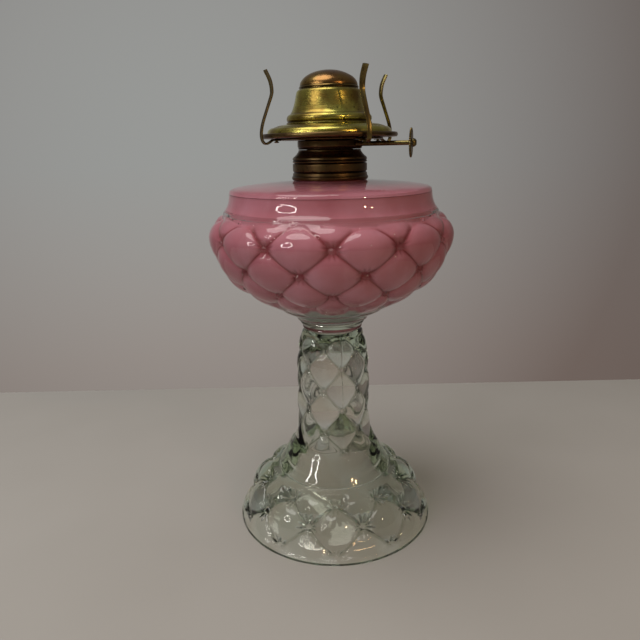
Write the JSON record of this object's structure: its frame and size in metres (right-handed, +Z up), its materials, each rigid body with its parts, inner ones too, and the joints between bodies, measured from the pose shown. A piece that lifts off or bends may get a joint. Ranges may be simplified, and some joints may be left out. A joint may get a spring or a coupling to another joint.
{
  "type": "oil lamp",
  "caption": "Oil lamp: a quilted clear glass foot and stem carry a pink cased glass font, with a brass flat-wick burner, a thumbwheel and spring chimney prongs.",
  "frame": {"origin": "middle of the foot's bottom rim, on the surface that the lamp stands on", "axes": "+Z up along the lamp's axis, +X along the wick raiser's shaft towards the thumbwheel"},
  "size_m": [0.144, 0.144, 0.2768],
  "materials": {
    "clear_glass": "fire-polished pressed glass with a slight grey-green tint",
    "pink_glass": "opaque dusty rose glass, glossy through the clear layer over it",
    "plaster": "matt collar plaster",
    "dark_brass": "brass darkened to bronze by age",
    "brass": "lacquered brass, olive gold, with coppery tarnish",
    "cotton": "flat woven cotton"
  },
  "bodies": {
    "stand": {"foot_and_stem": "clear_glass", "glass_wafer": "clear_glass", "font_casing": "clear_glass", "font_lining": "pink_glass", "collar": "dark_brass", "collar_plaster": "plaster"},
    "burner": {"burner_base": "dark_brass", "burner_basket": "dark_brass", "wick_tube": "brass", "vent_tube": "brass", "ratchet_bracket": "brass", "shaft_bush": "dark_brass"},
    "wick": {"wick": "cotton"},
    "wick_raiser": {"ratchet_shaft": "dark_brass", "spur_wheel_1": "brass", "spur_wheel_2": "brass", "spur_wheel_3": "brass", "thumbwheel": "dark_brass", "thumbwheel_rivet": "dark_brass"},
    "gallery": {"air_screen": "dark_brass", "gallery_plate": "dark_brass", "chimney_seat": "brass", "burner_dome": "brass", "prong_rivet_1": "dark_brass", "prong_rivet_2": "dark_brass", "prong_rivet_3": "dark_brass", "prong_rivet_4": "dark_brass"},
    "prong_1": {"prong_1": "dark_brass"},
    "prong_2": {"prong_2": "dark_brass"},
    "prong_3": {"prong_3": "dark_brass"},
    "prong_4": {"prong_4": "dark_brass"}
  },
  "joints": [
    {"name": "burner_unscrew", "type": "slide", "parent": "stand", "child": "burner", "axis": [0, 0, 1], "range_m": [0, 0.08]},
    {"name": "wick_raiser_turn", "type": "hinge", "parent": "burner", "child": "wick_raiser", "pos_m": [0, -0.0055, 0.2372], "axis": [1, 0, 0], "range_deg": [-171, 71]},
    {"name": "wick_feed", "type": "slide", "parent": "burner", "child": "wick", "axis": [0, 0, 1], "range_m": [-0.0119, 0.0049]},
    {"name": "gallery_lift", "type": "slide", "parent": "burner", "child": "gallery", "axis": [0, 0, 1], "range_m": [0, 0.045]},
    {"name": "prong_1_flex", "type": "hinge", "parent": "gallery", "child": "prong_1", "pos_m": [0.02467, 0.02222, 0.23995], "axis": [-0.6691, 0.7431, 0], "range_deg": [0, 5], "stiffness_Nm_per_rad": 1},
    {"name": "prong_2_flex", "type": "hinge", "parent": "gallery", "child": "prong_2", "pos_m": [-0.0171, 0.02846, 0.23995], "axis": [-0.8572, -0.515, 0], "range_deg": [0, 5], "stiffness_Nm_per_rad": 1},
    {"name": "prong_3_flex", "type": "hinge", "parent": "gallery", "child": "prong_3", "pos_m": [-0.02467, -0.02222, 0.23995], "axis": [0.6691, -0.7431, 0], "range_deg": [0, 5], "stiffness_Nm_per_rad": 1},
    {"name": "prong_4_flex", "type": "hinge", "parent": "gallery", "child": "prong_4", "pos_m": [0.02222, -0.02467, 0.23995], "axis": [0.7431, 0.6691, 0], "range_deg": [0, 5], "stiffness_Nm_per_rad": 1}
  ],
  "couplings": [
    {"joint": "wick_raiser_turn", "follows": "wick_feed", "rad_per_m": 250}
  ]
}
